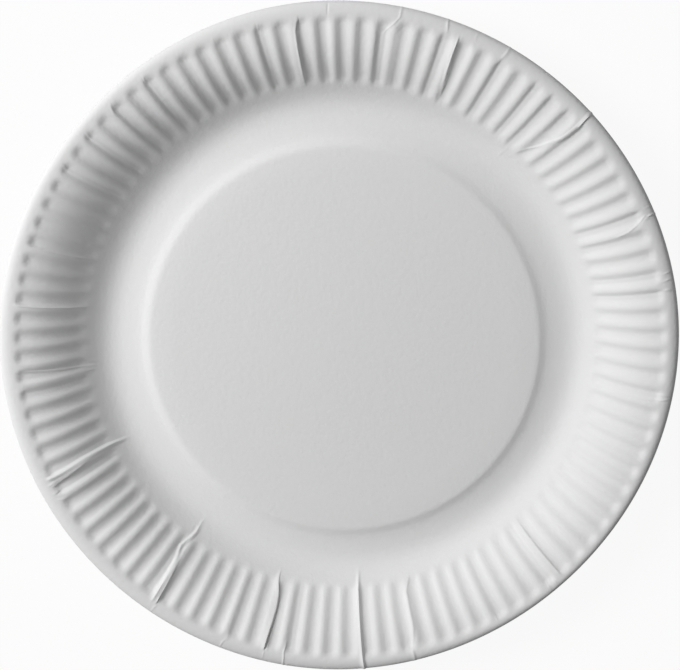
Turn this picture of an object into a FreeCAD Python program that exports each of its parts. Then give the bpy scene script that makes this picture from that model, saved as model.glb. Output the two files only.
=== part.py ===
import FreeCAD, Part
import math
import os

os.makedirs("parts", exist_ok=True)

# Sizes in millimetres, slopes and other angles in degrees.
# The plate stands on its foot ring, with its well opening upwards.
RIM_DIAMETER = 230.0
PLATE_HEIGHT = 21.0
BOARD = 0.4

# The section from the rim inwards: rolled lip, shoulder, straight wall and the bend down to the foot ring.
LIP_RADIUS = 5.4
LIP_SLOPE = 65.0
SHOULDER_RADIUS = 32.5
SHOULDER_SLOPE = 12.0
WALL_SLOPE = 47.5
FOOT_BEND_RADIUS = 10.0
FOOT_RING_WIDTH = 1.6

# The moat inside the foot ring rises to a short step, and the step to the crowned centre panel.
MOAT_RADIUS = 32.0
MOAT_SLOPE = 13.0
STEP_LENGTH = 1.5
STEP_SLOPE = 36.0
PANEL_EDGE_RADIUS = 1.2
CROWN_SLOPE = 1.5

# Flutes are grooves pressed down into the wall and shoulder, between ridges that stay level with the rim.
FLUTES = 100
FIRST_GROOVE_ANGLE = 2.45
FLUTE_DEPTH = 1.25
FLUTE_ABOVE_BEND = 1.3
RIM_BAND_WIDTH = 5.0
GROOVE_RISE_INSIDE = 3.4
GROOVE_RISE_OUTSIDE = 3.0
SHARP_RIDGE_FACETS = 2
FLUTE_FACETS = 4
GROOVE_SHARE_OUTSIDE = 0.56

# Grooves that the press has creased through the rim, and how far the crease dips below the lip.
CREASED_GROOVES = (11, 18, 26, 71, 76, 87)
CREASE_DEPTH = 0.5

# Bends are pressed as flat facets, each this close to the true arc.
FACET_SAG = 0.22
SAME_POINT = 1e-6
PITCH = 360.0 / FLUTES
ORIGIN = FreeCAD.Vector(0, 0, 0)
AXIS = FreeCAD.Vector(0, 0, 1)


def sin(angle):
    return math.sin(math.radians(angle))


def cos(angle):
    return math.cos(math.radians(angle))


def turn(joint, radius, end_slope):
    """The joint (rho, z, slope) at the end of an arc; a negative radius bends downwards."""
    rho, z, slope = joint
    across = radius * (sin(end_slope) - sin(slope))
    rise = radius * (cos(slope) - cos(end_slope))
    return (rho + across, z + rise, end_slope)


def run(joint, length):
    """The joint at the end of a straight stretch."""
    rho, z, slope = joint
    return (rho + length * cos(slope), z + length * sin(slope), slope)


def bend(joint, radius, end_slope):
    """The joints at the facet corners of an arc, without the one that it starts from."""
    facet_turn = 2 * math.degrees(math.acos(1 - FACET_SAG / abs(radius)))
    count = math.ceil(abs(end_slope - joint[2]) / facet_turn)
    step = (end_slope - joint[2]) / count
    return [turn(joint, radius, joint[2] + step * (number + 1)) for number in range(count)]


def wall_length():
    """The straight wall's length, which closes the section on the plate's height."""
    foot_rise = FOOT_BEND_RADIUS * (1 - cos(WALL_SLOPE))
    shoulder_rise = SHOULDER_RADIUS * (cos(SHOULDER_SLOPE) - cos(WALL_SLOPE))
    lip_rise = LIP_RADIUS * (1 - cos(SHOULDER_SLOPE))
    return (PLATE_HEIGHT - BOARD - foot_rise - shoulder_rise - lip_rise) / sin(WALL_SLOPE)


def foot_ring_radius():
    """The foot ring's outer radius, as far inside the rim as the bends and the wall need."""
    foot_across = FOOT_BEND_RADIUS * sin(WALL_SLOPE)
    shoulder_across = SHOULDER_RADIUS * (sin(WALL_SLOPE) - sin(SHOULDER_SLOPE))
    lip_across = LIP_RADIUS * (sin(SHOULDER_SLOPE) + sin(LIP_SLOPE))
    wall_across = wall_length() * cos(WALL_SLOPE)
    return RIM_DIAMETER / 2 - foot_across - wall_across - shoulder_across - lip_across


def centre_joints():
    """The upper face from the centre to the foot ring: crown, panel edge, step and moat."""
    down_from_edge = [bend((0.0, 0.0, -CROWN_SLOPE), -PANEL_EDGE_RADIUS, -STEP_SLOPE)[-1]]
    down_from_edge.append(run(down_from_edge[-1], STEP_LENGTH))
    at_step_foot = (down_from_edge[-1][0], down_from_edge[-1][1], -MOAT_SLOPE)
    down_from_edge += bend(at_step_foot, MOAT_RADIUS, 0.0)
    across, drop, slope = down_from_edge[-1]
    panel_radius = foot_ring_radius() - FOOT_RING_WIDTH - across
    crown_radius = panel_radius / sin(CROWN_SLOPE)
    edge_height = BOARD - drop
    centre_height = edge_height + crown_radius * (1 - cos(CROWN_SLOPE))
    joints = [(0.0, centre_height, 0.0)]
    joints += bend(joints[0], -crown_radius, -CROWN_SLOPE)
    joints += [(panel_radius + rho, edge_height + z, slope) for rho, z, slope in down_from_edge]
    return joints


def joint_at_radius(rho):
    """The joint at a radius on the wall, the shoulder or the lip."""
    foot_ring = (foot_ring_radius(), BOARD, 0.0)
    wall = turn(foot_ring, FOOT_BEND_RADIUS, WALL_SLOPE)
    shoulder = run(wall, wall_length())
    lip = turn(shoulder, -SHOULDER_RADIUS, SHOULDER_SLOPE)
    if rho <= shoulder[0]:
        return run(wall, (rho - wall[0]) / cos(WALL_SLOPE))
    start, radius = (shoulder, SHOULDER_RADIUS) if rho <= lip[0] else (lip, LIP_RADIUS)
    slope = math.degrees(math.asin(sin(start[2]) - (rho - start[0]) / radius))
    return turn(start, -radius, slope)


def foot_joints():
    """The facet corners from the foot ring's outer edge up to where the flutes start."""
    joints = [(foot_ring_radius(), BOARD, 0.0)]
    joints += bend(joints[0], FOOT_BEND_RADIUS, WALL_SLOPE)
    joints.append(run(joints[-1], FLUTE_ABOVE_BEND / cos(WALL_SLOPE)))
    return joints


def flute_joints():
    """The stations of a flute: its start, the groove at full depth, and its end at the rim band."""
    start = foot_joints()[-1][0]
    end = RIM_DIAMETER / 2 - RIM_BAND_WIDTH
    deep_start = start + GROOVE_RISE_INSIDE
    deep_end = end - GROOVE_RISE_OUTSIDE
    stations = [start]
    for number in range(FLUTE_FACETS + 1):
        stations.append(deep_start + (deep_end - deep_start) * number / FLUTE_FACETS)
    stations.append(end)
    return [joint_at_radius(rho) for rho in stations]


def groove_half_angles():
    """Half the groove's width at each station: the whole pitch at first, narrowing to a point at the rim band."""
    widths = [PITCH / 2] * (SHARP_RIDGE_FACETS + 1)
    narrowing = FLUTE_FACETS + 1 - SHARP_RIDGE_FACETS
    for number in range(narrowing):
        share = (number + 1) / narrowing
        widths.append(PITCH / 2 * (1 - share * (1 - GROOVE_SHARE_OUTSIDE)))
    widths.append(0.0)
    return widths


def lip_joints():
    start = joint_at_radius(RIM_DIAMETER / 2 - RIM_BAND_WIDTH)
    return [start] + bend(start, -LIP_RADIUS, -LIP_SLOPE)


def point(joint, below, angle, dip=0.0):
    """The point at an angle on a section joint, square below the upper face and dipped straight down."""
    rho, z, slope = joint
    across = rho + below * sin(slope)
    return FreeCAD.Vector(across * cos(angle), across * sin(angle), z - below * cos(slope) - dip)


def facet(*corners):
    """The flat face on three or four corners, in two triangles where four don't lie in a plane."""
    kept = []
    for corner in corners:
        if all(corner.distanceToPoint(other) > SAME_POINT for other in kept):
            kept.append(corner)
    if len(kept) == 4:
        normal = (kept[1] - kept[0]).cross(kept[2] - kept[0]).normalize()
        if abs(normal.dot(kept[3] - kept[0])) > SAME_POINT:
            return facet(kept[0], kept[1], kept[2]) + facet(kept[0], kept[2], kept[3])
    return [Part.Face(Part.makePolygon(kept + [kept[0]]))]


def groove_angle(groove):
    return FIRST_GROOVE_ANGLE + groove * PITCH


def crease_dip(groove):
    return CREASE_DEPTH if groove % FLUTES in CREASED_GROOVES else 0.0


def foot_facets(below, groove):
    """One pitch of the bend between the foot ring and the flutes."""
    left = groove_angle(groove) - PITCH / 2
    right = left + PITCH
    faces = []
    joints = foot_joints()
    for low, high in zip(joints, joints[1:]):
        faces += facet(point(low, below, left), point(low, below, right),
                       point(high, below, right), point(high, below, left))
    return faces


def flute_facets(below, groove):
    """One groove with the ridge that follows it."""
    middle = groove_angle(groove)
    joints = flute_joints()
    dip = crease_dip(groove)
    rings = []
    for number, (joint, half) in enumerate(zip(joints, groove_half_angles())):
        last = number == len(joints) - 1
        depth = dip if last else FLUTE_DEPTH + dip
        rings.append((point(joint, below, middle - half, dip if last else 0.0),
                      point(joint, below, middle, depth),
                      point(joint, below, middle + half, dip if last else 0.0),
                      point(joint, below, middle + PITCH - half, crease_dip(groove + 1) if last else 0.0)))
    start_left, _, start_right, _ = rings[0]
    left, floor, right, _ = rings[1]
    faces = facet(start_left, floor, left) + facet(start_left, start_right, floor)
    faces += facet(start_right, right, floor)
    for low, high in zip(rings[1:], rings[2:]):
        faces += facet(low[0], low[1], high[1], high[0])
        faces += facet(low[1], low[2], high[2], high[1])
        if low[2].distanceToPoint(low[3]) > SAME_POINT or high[2].distanceToPoint(high[3]) > SAME_POINT:
            faces += facet(low[2], low[3], high[3], high[2])
    return faces


def lip_facets(below, groove):
    """One pitch of the rolled lip, between the ends of two grooves."""
    left = groove_angle(groove)
    right = groove_angle(groove + 1)
    left_dip = crease_dip(groove)
    right_dip = crease_dip(groove + 1)
    faces = []
    joints = lip_joints()
    for low, high in zip(joints, joints[1:]):
        faces += facet(point(low, below, left, left_dip), point(low, below, right, right_dip),
                       point(high, below, right, right_dip), point(high, below, left, left_dip))
    return faces


def rim_edge_facets(groove):
    """One pitch of the board's cut edge."""
    rim = lip_joints()[-1]
    left = groove_angle(groove)
    right = groove_angle(groove + 1)
    left_dip = crease_dip(groove)
    right_dip = crease_dip(groove + 1)
    return facet(point(rim, 0.0, left, left_dip), point(rim, 0.0, right, right_dip),
                 point(rim, BOARD, right, right_dip), point(rim, BOARD, left, left_dip))


def centre_faces(below):
    """The round centre of the plate, turned about its axis, and the flat foot ring round it."""
    joints = centre_joints()
    line = Part.makePolygon([point(joint, below, 0.0) for joint in joints])
    faces = line.revolve(ORIGIN, AXIS, 360).Faces
    inner = point(joints[-1], below, 0.0)
    inside = Part.Wire([Part.Circle(FreeCAD.Vector(0, 0, inner.z), AXIS, inner.x).toShape()])
    corners = [point(foot_joints()[0], below, groove_angle(groove) - PITCH / 2) for groove in range(FLUTES)]
    outside = Part.makePolygon(corners + [corners[0]])
    ring = Part.Face(outside).cut(Part.Face(inside))
    return faces + ring.Faces


def plate():
    faces = []
    for below in (0.0, BOARD):
        faces += centre_faces(below)
        for groove in range(FLUTES):
            faces += foot_facets(below, groove)
            faces += flute_facets(below, groove)
            faces += lip_facets(below, groove)
    for groove in range(FLUTES):
        faces += rim_edge_facets(groove)
    sheet = Part.makeCompound(faces)
    sheet.sewShape()
    solid = Part.Solid(sheet.Shells[0])
    if solid.Volume < 0:
        solid.reverse()
    return solid


plate().exportStep("parts/plate.step")
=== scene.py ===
import bpy
import math
import numpy as np
from mathutils import Matrix, Vector


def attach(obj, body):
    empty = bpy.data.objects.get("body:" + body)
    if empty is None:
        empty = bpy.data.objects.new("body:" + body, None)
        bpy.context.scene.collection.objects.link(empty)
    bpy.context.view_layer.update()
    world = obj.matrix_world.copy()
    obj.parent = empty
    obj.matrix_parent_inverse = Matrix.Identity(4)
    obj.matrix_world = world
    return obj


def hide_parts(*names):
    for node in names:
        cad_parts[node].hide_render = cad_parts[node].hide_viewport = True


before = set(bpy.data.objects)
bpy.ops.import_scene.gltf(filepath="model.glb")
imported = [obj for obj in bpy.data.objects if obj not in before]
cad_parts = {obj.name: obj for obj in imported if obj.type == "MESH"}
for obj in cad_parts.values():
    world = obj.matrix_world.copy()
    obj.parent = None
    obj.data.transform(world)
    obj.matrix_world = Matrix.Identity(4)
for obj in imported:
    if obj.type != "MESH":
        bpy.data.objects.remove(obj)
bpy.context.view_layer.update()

# The plate: one sheet of uncoated white paperboard, pressed hot between two dies.
# The press draws the flat blank down into a fluted wall, rolls its edge over as a lip,
# and folds the spare length of board into creases between the flutes.
MM = 0.001
BOARD = 0.40
FOOT_TOP = 0.40
COLUMNS = 1020
SAME_POINT = 1e-6
SHARP_FROM = 60.0

# The section of the upper face from the centre outwards, in millimetres:
# radius, slope there in degrees, and the rows of faces up to there.
SECTION = (
    (0.0, 0.0, 0),
    (58.0, -1.0, 1),
    (66.2, -1.8, 1),
    (67.2, -14.0, 1),
    (68.3, -27.5, 2),
    (69.3, -29.0, 1),
    (70.9, -17.0, 2),
    (73.0, -11.5, 1),
    (76.0, -5.5, 1),
    (78.4, 0.0, 2),
    (80.2, 10.0, 1),
    (84.2, 34.0, 3),
    (87.4, 45.5, 3),
    (89.4, 49.0, 2),
    (92.0, 48.0, 2),
    (96.0, 41.0, 3),
    (100.0, 32.4, 2),
    (104.0, 23.0, 3),
    (107.6, 15.0, 3),
    (111.2, 5.0, 5),
    (112.6, -8.0, 2),
    (114.0, -25.0, 2),
    (114.9, -54.0, 2),
    (115.3, -84.0, 2),
)


def section_rows():
    """Each row's radius, height and slope. Every stretch is an arc from one slope to the next."""
    rows = [(0.0, 0.0, 0.0)]
    for (rho_a, slope_a, _), (rho_b, slope_b, count) in zip(SECTION, SECTION[1:]):
        start, turn = math.radians(slope_a), math.radians(slope_b - slope_a)
        radius = (rho_b - rho_a) / (math.sin(start + turn) - math.sin(start))
        for number in range(1, count + 1):
            last = start + turn * (number - 1) / count
            slope = start + turn * number / count
            rho, z, _ = rows[-1]
            across = radius * (math.sin(slope) - math.sin(last))
            rise = radius * (math.cos(last) - math.cos(slope))
            rows.append((rho + across, z + rise, slope))
    lowest = min(z for _, z, _ in rows)
    return [(rho, z - lowest + FOOT_TOP, slope) for rho, z, slope in rows]


ROWS = section_rows()

# The plain bowl: one point extruded along the section, spun, and given the board's thickness.
bpy.ops.object.select_all(action="DESELECT")
bpy.ops.mesh.primitive_circle_add(vertices=3, radius=MM, location=(0, 0, 0))
plate = bpy.context.object
plate.name = "paper_plate"
bpy.ops.object.mode_set(mode="EDIT")
bpy.ops.mesh.merge(type="CENTER")
bpy.ops.transform.translate(value=(0, 0, ROWS[0][1] * MM))
for (rho_a, z_a, _), (rho_b, z_b, _) in zip(ROWS, ROWS[1:]):
    step = ((rho_b - rho_a) * MM, 0, (z_b - z_a) * MM)
    bpy.ops.mesh.extrude_region_move(TRANSFORM_OT_translate={"value": step})
bpy.ops.mesh.select_all(action="SELECT")
bpy.ops.mesh.spin(steps=COLUMNS, angle=math.tau, center=(0, 0, 0), axis=(0, 0, 1))
bpy.ops.mesh.select_all(action="SELECT")
bpy.ops.mesh.remove_doubles(threshold=SAME_POINT)
bpy.ops.mesh.normals_make_consistent(inside=False)
bpy.ops.object.mode_set(mode="OBJECT")

# The faces of the open bowl look upwards, so that the thickness goes on below them.
if sum(face.normal.z for face in plate.data.polygons) < 0:
    bpy.ops.object.mode_set(mode="EDIT")
    bpy.ops.mesh.select_all(action="SELECT")
    bpy.ops.mesh.flip_normals()
    bpy.ops.object.mode_set(mode="OBJECT")
skin = plate.modifiers.new("board", "SOLIDIFY")
skin.thickness = BOARD * MM
skin.offset = -1
bpy.ops.object.modifier_apply(modifier=skin.name)

# Flutes: a hundred grooves pressed down between ridges that stay level with the rim band.
# Each is a little lopsided: its steep and its easy side are given as parts of the pitch,
# counted from the bottom of the groove.
FLUTES = 100
FIRST_GROOVE = 2.4536
FLUTE_DEPTH = 1.12
STEEP_FROM = 0.13
STEEP_LENGTH = 0.31
EASY_FROM = 0.50
EASY_LENGTH = 0.44

# Radii where a flute starts, where it is fully deep and where it ends, and how it ends:
# rounded in plan, and a little further out on one side of the plate.
FLUTE_START = 87.3
FLUTE_DEEP = 90.6
FLUTE_END = 110.9
FLUTE_END_LENGTH = 2.6
FLUTE_END_ROUND = 1.5
FLUTE_END_SHIFT = 0.7
FLUTE_END_SHIFT_AT = 45.0

# Creases: spare board stands up in folds, most with one steep side and one easy side.
# Each is a path of (angle, radius) points from the rim inwards, its width before and
# after the line, and its height. Below zero it is a narrow groove.
CREASES = (
    (((42.95, 115.8), (43.05, 110.0), (43.2, 104.0), (43.7, 100.0)), 0.40, 1.2, 0.65),
    (((43.6, 103.0), (45.2, 95.0), (47.5, 88.0)), 0.6, 0.6, 0.20),
    (((68.85, 110.8), (68.8, 106.0), (68.6, 101.0), (68.1, 95.0), (67.8, 90.5)), 0.40, 1.1, 0.60),
    (((69.5, 110.6), (69.35, 107.0), (69.2, 103.0)), 0.45, 0.35, 0.24),
    (((71.4, 115.8), (71.3, 113.8), (70.9, 111.6)), 0.45, 0.6, 0.38),
    (((23.1, 115.8), (23.4, 113.5), (23.1, 111.3)), 0.30, 0.5, 0.45),
    (((23.7, 111.8), (22.9, 108.5), (22.2, 105.0), (21.9, 101.0)), 0.5, 0.5, 0.30),
    (((10.1, 113.2), (10.4, 111.2)), 0.40, 0.4, 0.38),
    (((12.0, 113.8), (11.8, 111.4)), 0.40, 0.4, 0.34),
    (((13.2, 114.0), (13.0, 111.8)), 0.40, 0.4, 0.30),
    (((24.8, 115.8), (24.8, 112.0)), 0.35, 0.35, 0.15),
    (((53.2, 115.8), (53.2, 114.4)), 0.35, 0.35, -0.25),
    (((60.3, 115.8), (60.4, 112.5), (60.9, 110.5), (61.2, 108.5)), 0.6, 0.5, 0.25),
    (((66.0, 115.8), (66.1, 112.5)), 0.35, 0.35, 0.12),
    (((79.3, 115.8), (79.3, 112.0), (80.0, 110.4), (81.0, 108.4), (81.7, 106.5)), 0.6, 0.5, 0.18),
    (((91.5, 114.8), (91.6, 110.8)), 0.35, 0.35, -0.20),
    (((96.75, 110.5), (97.35, 107.0), (97.4, 100.0), (97.35, 89.0)), 0.35, 0.8, 0.45),
    (((103.6, 110.8), (103.9, 109.0)), 0.35, 0.35, 0.25),
    (((125.4, 111.0), (125.6, 109.3)), 0.35, 0.35, 0.25),
    (((132.8, 111.3), (133.5, 108.0)), 0.5, 0.35, 0.20),
    (((139.3, 109.9), (139.7, 108.0)), 0.35, 0.35, 0.25),
    (((146.3, 109.9), (146.7, 108.2)), 0.35, 0.35, 0.25),
    (((162.0, 107.5), (162.0, 89.0)), 0.35, 0.35, 0.30),
    (((173.0, 110.0), (173.0, 88.0)), 0.35, 0.35, 0.30),
    (((185.2, 107.0), (186.0, 96.0), (186.8, 85.0)), 0.5, 0.7, 0.22),
    (((185.3, 88.8), (185.9, 85.2)), 0.4, 0.4, 0.20),
    (((187.8, 88.4), (187.4, 84.6)), 0.4, 0.4, 0.20),
    (((188.6, 110.5), (189.2, 108.4)), 0.35, 0.4, 0.30),
    (((204.3, 110.8), (204.9, 108.2)), 0.35, 0.35, 0.30),
    (((206.7, 110.9), (206.2, 108.6)), 0.35, 0.35, 0.30),
    (((208.4, 110.6), (208.0, 108.0)), 0.35, 0.35, 0.30),
    (((209.5, 110.4), (209.9, 108.3)), 0.35, 0.35, 0.25),
    (((205.4, 110.2), (205.3, 104.0), (204.95, 97.0), (205.1, 92.0), (205.8, 83.4)),
     0.8, 1.2, 0.58),
    (((207.0, 109.5), (206.4, 102.0), (205.8, 96.0)), 1.5, 0.45, 0.42),
    (((234.5, 110.4), (234.2, 103.0), (233.7, 95.5), (233.0, 92.0), (234.1, 86.5),
      (233.5, 82.6)), 0.9, 1.1, 0.60),
    (((235.35, 110.4), (235.0, 103.0), (234.4, 95.5)), 1.2, 0.45, 0.55),
    (((235.6, 115.8), (235.7, 110.8)), 0.35, 0.35, 0.15),
    (((249.0, 115.8), (249.3, 112.0), (249.8, 109.8)), 0.35, 0.35, 0.20),
    (((256.6, 109.8), (256.75, 105.0), (257.05, 99.0), (257.1, 96.0), (256.95, 93.0),
      (255.95, 87.0)), 1.2, 0.45, 0.62),
    (((256.87, 109.6), (257.02, 105.0), (257.32, 99.0), (257.37, 96.0), (257.22, 93.0),
      (256.25, 87.8)), 0.35, 0.35, -0.45),
    (((232.5, 85.8), (233.3, 83.6)), 0.5, 0.5, 0.14),
    (((234.9, 85.2), (234.1, 83.4)), 0.5, 0.5, 0.12),
    (((256.8, 113.5), (256.8, 110.0)), 0.35, 0.35, 0.15),
    (((260.6, 115.8), (260.5, 112.0), (260.3, 109.8), (260.5, 106.0)), 0.5, 0.35, 0.30),
    (((261.3, 115.8), (261.3, 114.3)), 0.5, 0.30, 0.40),
    (((274.8, 115.8), (274.7, 110.0), (274.4, 84.6)), 1.0, 0.85, 0.80),
    (((283.75, 115.8), (283.9, 109.5), (285.0, 102.0), (285.0, 92.0), (286.2, 88.0)),
     1.0, 0.70, 0.28),
    (((300.2, 110.9), (300.2, 108.0)), 0.35, 0.35, 0.15),
    (((311.2, 111.4), (311.5, 109.4)), 0.35, 0.35, 0.25),
    (((312.6, 111.3), (312.8, 109.3)), 0.35, 0.35, 0.25),
    (((314.4, 109.5), (314.4, 89.5)), 0.9, 0.35, 0.40),
    (((351.0, 113.0), (350.8, 109.0), (350.6, 104.5)), 0.35, 0.35, 0.25),
    (((351.6, 112.8), (351.9, 109.4)), 0.35, 0.35, 0.20),
    (((45.2, 87.0), (45.9, 84.8), (46.4, 82.8)), 0.5, 0.5, 0.12),
    (((47.6, 86.5), (48.2, 84.2)), 0.5, 0.5, 0.10),
    (((49.2, 86.8), (49.9, 84.0), (51.0, 83.2)), 0.5, 0.5, 0.12),
)

# A crease ends over a short length at the rim and over a longer one at its inner end.
CREASE_END = 1.5
CREASE_FADE = 0.3
OUTER_END_AT = 0.5
INNER_END_AT = 0.3

# The lip is pressed hardest, so a crease that reaches it is much lower there.
LIP_IRONING = 0.6
IRONED_FROM = 113.4
IRONED_LENGTH = 1.6

# The mesh columns stand closer together at every crease, and lean with the long ones.
ANGLE_STEP = 0.02
CLOSE_WITHIN = 0.62
CLOSE_GAIN = 3.2
LEAN_FLAT = 0.9
LEAN_REACH = 1.8
LONG_CREASE = 8.0


def smooth(value):
    """A soft ramp from 0 to 1."""
    value = np.clip(value, 0.0, 1.0)
    return value * value * (3.0 - 2.0 * value)


def apart(angle_a, angle_b):
    """The signed turn from the second angle to the first."""
    return (angle_a - angle_b + 180.0) % 360.0 - 180.0


def path_angle(path, rho):
    """A crease's angle at each radius, held beyond its ends."""
    path = sorted(path, key=lambda spot: spot[1])
    return np.interp(rho, [spot[1] for spot in path], [spot[0] for spot in path])


def middle(path):
    """The angle halfway between a crease's furthest turns to either side."""
    return 0.5 * (min(spot[0] for spot in path) + max(spot[0] for spot in path))


def crowd_columns(angle):
    """Angles of the evenly spun columns, drawn closer together at the creases."""
    fine = np.arange(0.0, 360.0, ANGLE_STEP)
    density = np.ones_like(fine)
    for path, _, _, _ in CREASES:
        bump = np.exp(-(apart(fine, middle(path)) / CLOSE_WITHIN) ** 2)
        density = np.maximum(density, 1.0 + CLOSE_GAIN * bump)
    total = np.concatenate(([0.0], np.cumsum(density)))
    return np.interp(angle, total * 360.0 / total[-1], np.append(fine, 360.0))


def lean_columns(angle, rho):
    """Angles of the columns once those beside a long slanting crease lean with it."""
    lean = np.zeros_like(angle)
    share = np.zeros_like(angle)
    for path, _, _, _ in CREASES:
        if path[0][1] - path[-1][1] < LONG_CREASE:
            continue
        swing = max(spot[0] for spot in path) - middle(path)
        reach = max(LEAN_REACH, 2.0 * swing)
        near = 1.0 - smooth((np.abs(apart(angle, middle(path))) - LEAN_FLAT) / reach)
        lean += near * (path_angle(path, rho) - middle(path))
        share += near
    return angle + lean / np.maximum(share, 1.0)


def crease_lift(angle, rho):
    """How far the board stands up at each point in all the creases together."""
    lift = np.zeros_like(rho)
    for path, before, after, fold_height in CREASES:
        off = apart(angle, path_angle(path, rho)) * np.radians(1.0) * rho
        high, low = path[0][1], path[-1][1]
        fade = max(CREASE_END, CREASE_FADE * (high - low))
        inner_end = smooth((rho - low) / fade + INNER_END_AT)
        outer_end = smooth((high - rho) / CREASE_END + OUTER_END_AT)
        beside = np.where(off < 0.0, 1.0 + off / before, 1.0 - off / after)
        lift += fold_height * inner_end * outer_end * np.clip(beside, 0.0, 1.0)
    return lift * (1.0 - LIP_IRONING * smooth((rho - IRONED_FROM) / IRONED_LENGTH))


# The bowl's points as radius, angle and height, with the columns drawn to the creases.
spots = np.empty(len(plate.data.vertices) * 3)
plate.data.vertices.foreach_get("co", spots)
spots = spots.reshape(-1, 3) / MM
rho = np.hypot(spots[:, 0], spots[:, 1])
angle = np.degrees(np.arctan2(spots[:, 1], spots[:, 0])) % 360.0
height = spots[:, 2]
angle = crowd_columns(angle)
angle = lean_columns(angle, rho)

# The flutes are pressed in, each ending rounded at the rim band.
phase = (angle - FIRST_GROOVE) * FLUTES / 360.0 % 1.0
across = 1.0 - smooth((phase - STEEP_FROM) / STEEP_LENGTH)
across = across + smooth((phase - EASY_FROM) / EASY_LENGTH)
end_at = FLUTE_END + FLUTE_END_SHIFT * np.cos(np.radians(angle - FLUTE_END_SHIFT_AT))
end_at = end_at - FLUTE_END_ROUND * (1.0 - across) ** 2
flute_in = smooth((rho - FLUTE_START) / (FLUTE_DEEP - FLUTE_START))
flute_out = smooth((end_at - rho) / FLUTE_END_LENGTH)
height = height - FLUTE_DEPTH * across * flute_in * flute_out

# The board stands up square to the section's slope.
slope = np.interp(rho, [row[0] for row in ROWS], [row[2] for row in ROWS])
lift = crease_lift(angle, rho)
rho = rho - lift * np.sin(slope)
height = height + lift * np.cos(slope)

# The rim as it dried: pulled in slightly on one side, its lip turned further in and down
# on the other, and the wall sagging a little between them.
LIP_FROM = 111.3
LIP_LENGTH = 3.9
LIP_MOST = 1.2
PULL_AT = 138.0
PULL_REACH = 48.0
PULL_IN = 1.1
LIP_TURN_AT = 316.0
LIP_TURN_REACH = 58.0
LIP_TURN_IN = 1.5
LIP_TURN_DOWN = 0.4
SAG_AT = 95.0
SAG_REACH = 65.0
SAG_FROM = 94.0
SAG_LENGTH = 16.0
SAG = 0.9
over = np.clip((rho - LIP_FROM) / LIP_LENGTH, 0.0, LIP_MOST)
turned = smooth(1.0 - np.abs(apart(angle, LIP_TURN_AT)) / LIP_TURN_REACH)
pulled = smooth(1.0 - np.abs(apart(angle, PULL_AT)) / PULL_REACH)
sagging = smooth(1.0 - np.abs(apart(angle, SAG_AT)) / SAG_REACH)
height = height - turned * LIP_TURN_DOWN * over ** 2
height = height - sagging * SAG * smooth((rho - SAG_FROM) / SAG_LENGTH)
rho = rho - turned * LIP_TURN_IN * over ** 1.5 - pulled * PULL_IN * over

# The dies sat off centre over the panel and the flutes. A small share of the panel's shift
# is taken up in its step, which is steeper on one side for it, and the rest in the moat.
PANEL_SHIFT = (1.58, -1.63)
STEP_SHARE = 0.17
STEP_FROM = 66.5
STEP_LENGTH = 3.0
MOAT_FROM = 70.0
MOAT_LENGTH = 21.0
FLUTE_SHIFT = (0.0, -0.65)
BAND_FROM = 109.0
BAND_LENGTH = 4.0
step_part = STEP_SHARE * smooth((rho - STEP_FROM) / STEP_LENGTH)
moat_part = (1.0 - STEP_SHARE) * smooth((rho - MOAT_FROM) / MOAT_LENGTH)
inner = 1.0 - step_part - moat_part
fluted = (1.0 - inner) * (1.0 - smooth((rho - BAND_FROM) / BAND_LENGTH))
shift_x = inner * PANEL_SHIFT[0] + fluted * FLUTE_SHIFT[0]
shift_y = inner * PANEL_SHIFT[1] + fluted * FLUTE_SHIFT[1]
spots[:, 0] = rho * np.cos(np.radians(angle)) + shift_x
spots[:, 1] = rho * np.sin(np.radians(angle)) + shift_y
spots[:, 2] = height
plate.data.vertices.foreach_set("co", (spots * MM).ravel())
plate.data.update()
bpy.ops.object.shade_smooth_by_angle(angle=math.radians(SHARP_FROM))

# The board's surface: matt white, with a fine grain from its fibres and one faint round
# dimple on the panel. The dimple's edge is given in parts of its radius, and its depth
# in parts of the grain's depth.
PAPER_WHITE = (0.89, 0.89, 0.89, 1)
FIBRE_SCALE = 650.0
FIBRE_DETAIL = 5.0
GRAIN_STRENGTH = 0.7
GRAIN_DEPTH = 0.17
MARK_AT = (3.3, 51.8)
MARK_RADIUS = 1.0
MARK_EDGE = (0.6, 1.3)
MARK_DEPTH = 0.12
paper = bpy.data.materials.new("uncoated_paperboard")
paper.use_nodes = True
nodes, links = paper.node_tree.nodes, paper.node_tree.links
shader = nodes["Principled BSDF"]
shader.inputs["Base Color"].default_value = PAPER_WHITE
shader.inputs["Roughness"].default_value = 0.9
shader.inputs["Specular IOR Level"].default_value = 0.2
place = nodes.new("ShaderNodeTexCoord")
fibre = nodes.new("ShaderNodeTexNoise")
fibre.inputs["Scale"].default_value = FIBRE_SCALE
fibre.inputs["Detail"].default_value = FIBRE_DETAIL
links.new(place.outputs["Object"], fibre.inputs["Vector"])
flat = nodes.new("ShaderNodeVectorMath")
flat.operation = "MULTIPLY"
flat.inputs[1].default_value = (1.0, 1.0, 0.0)
links.new(place.outputs["Object"], flat.inputs[0])
off_mark = nodes.new("ShaderNodeVectorMath")
off_mark.operation = "DISTANCE"
off_mark.inputs[1].default_value = (MARK_AT[0] * MM, MARK_AT[1] * MM, 0.0)
links.new(flat.outputs["Vector"], off_mark.inputs[0])
mark = nodes.new("ShaderNodeMapRange")
mark.interpolation_type = "SMOOTHSTEP"
mark.inputs["From Min"].default_value = MARK_RADIUS * MM * MARK_EDGE[0]
mark.inputs["From Max"].default_value = MARK_RADIUS * MM * MARK_EDGE[1]
mark.inputs["To Min"].default_value = -MARK_DEPTH
mark.inputs["To Max"].default_value = 0.0
links.new(off_mark.outputs["Value"], mark.inputs["Value"])
surface = nodes.new("ShaderNodeMath")
surface.operation = "ADD"
links.new(fibre.outputs["Fac"], surface.inputs[0])
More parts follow.
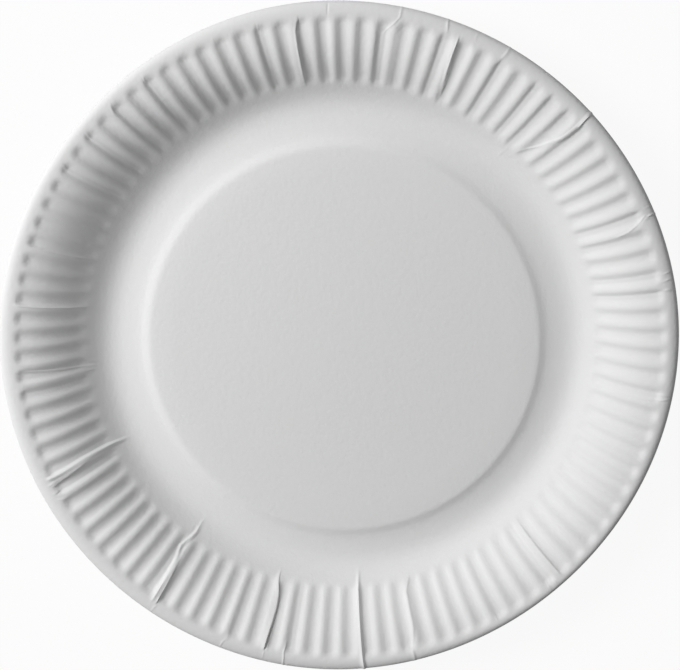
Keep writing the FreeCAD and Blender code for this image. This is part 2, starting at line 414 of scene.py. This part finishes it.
links.new(mark.outputs["Result"], surface.inputs[1])
grain = nodes.new("ShaderNodeBump")
grain.inputs["Strength"].default_value = GRAIN_STRENGTH
grain.inputs["Distance"].default_value = GRAIN_DEPTH * MM
links.new(surface.outputs["Value"], grain.inputs["Height"])
links.new(grain.outputs["Normal"], shader.inputs["Normal"])
plate.data.materials.clear()
plate.data.materials.append(paper)
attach(plate, "root")
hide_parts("plate")

# The table top under the plate: a wide matt white sheet just below the foot ring.
# It shows nearly pure white, and keeps a little of the soft shadow.
TABLE_SIZE = 6.0
TABLE_TOP = -0.0003
TABLE_WHITE = (0.85, 0.85, 0.85, 1)
PURE_WHITE_SHARE = 0.93
bpy.ops.object.select_all(action="DESELECT")
bpy.ops.mesh.primitive_plane_add(size=TABLE_SIZE, location=(0, 0, TABLE_TOP))
table = bpy.context.object
table.name = "white_table"
white = bpy.data.materials.new("white_sheet")
white.use_nodes = True
nodes, links = white.node_tree.nodes, white.node_tree.links
white_shader = nodes["Principled BSDF"]
white_shader.inputs["Base Color"].default_value = TABLE_WHITE
white_shader.inputs["Roughness"].default_value = 0.9
white_shader.inputs["Specular IOR Level"].default_value = 0.1
glow = nodes.new("ShaderNodeEmission")
glow.inputs["Strength"].default_value = 1.0
ray = nodes.new("ShaderNodeLightPath")
share = nodes.new("ShaderNodeMath")
share.operation = "MULTIPLY"
share.inputs[1].default_value = PURE_WHITE_SHARE
mix = nodes.new("ShaderNodeMixShader")
links.new(ray.outputs["Is Camera Ray"], share.inputs[0])
links.new(share.outputs["Value"], mix.inputs["Fac"])
links.new(white_shader.outputs["BSDF"], mix.inputs[1])
links.new(glow.outputs["Emission"], mix.inputs[2])
links.new(mix.outputs["Shader"], nodes["Material Output"].inputs["Surface"])
table.data.materials.append(white)

# The lamp: one soft round lamp to the left of the plate and behind it,
# low enough that its light runs along the wall and shows every flute.
LAMP_AZIMUTH = 156.0
LAMP_ELEVATION = 43.5
LAMP_DISTANCE = 1.15
LAMP_SIZE = 0.6
LAMP_WATTS = 10.95
LAMP_AIM = Vector((0.0, 0.0, 0.01))
up_by = math.radians(LAMP_ELEVATION)
round_by = math.radians(LAMP_AZIMUTH)
away = Vector((
    math.cos(up_by) * math.cos(round_by),
    math.cos(up_by) * math.sin(round_by),
    math.sin(up_by),
))
bpy.ops.object.light_add(type="AREA", location=LAMP_AIM + away * LAMP_DISTANCE)
lamp = bpy.context.object
lamp.name = "soft_lamp"
lamp.rotation_euler = away.to_track_quat("Z", "Y").to_euler()
lamp.data.shape = "DISK"
lamp.data.size = LAMP_SIZE
lamp.data.energy = LAMP_WATTS

# The room: weak even light from all round, and plain white where it is seen directly.
EVEN_LIGHT = 0.13
world = bpy.data.worlds.new("even_light")
bpy.context.scene.world = world
world.use_nodes = True
nodes, links = world.node_tree.nodes, world.node_tree.links
sky = nodes["Background"]
sky.inputs["Color"].default_value = (1, 1, 1, 1)
sky.inputs["Strength"].default_value = EVEN_LIGHT
seen = nodes.new("ShaderNodeBackground")
seen.inputs["Strength"].default_value = 1.0
ray = nodes.new("ShaderNodeLightPath")
mix = nodes.new("ShaderNodeMixShader")
links.new(ray.outputs["Is Camera Ray"], mix.inputs["Fac"])
links.new(sky.outputs["Background"], mix.inputs[1])
links.new(seen.outputs["Background"], mix.inputs[2])
links.new(mix.outputs["Shader"], nodes["World Output"].inputs["Surface"])

# The camera: nearly straight above the plate, tipped by about ten degrees.
# Its focal length and the width of its view are in pixels, its sensor in millimetres.
CAMERA_AT = (0.034889, 0.138499, 0.746413)
CAMERA_BACK = Vector((0.04573005, 0.18244026, 0.9821529))
CAMERA_RIGHT = Vector((0.99891779, 0.0, -0.04651064))
FOCAL_PIXELS = 2188.98
WIDTH_PIXELS = 680
SENSOR_WIDTH = 36.0
bpy.ops.object.camera_add(location=CAMERA_AT)
camera = bpy.context.object
camera.name = "camera_above"
turned_to = Matrix((CAMERA_RIGHT, CAMERA_BACK.cross(CAMERA_RIGHT), CAMERA_BACK))
camera.rotation_euler = turned_to.transposed().to_euler()
camera.data.sensor_width = SENSOR_WIDTH
camera.data.lens = FOCAL_PIXELS / WIDTH_PIXELS * SENSOR_WIDTH
bpy.context.scene.camera = camera
bpy.context.scene.view_settings.view_transform = "Standard"
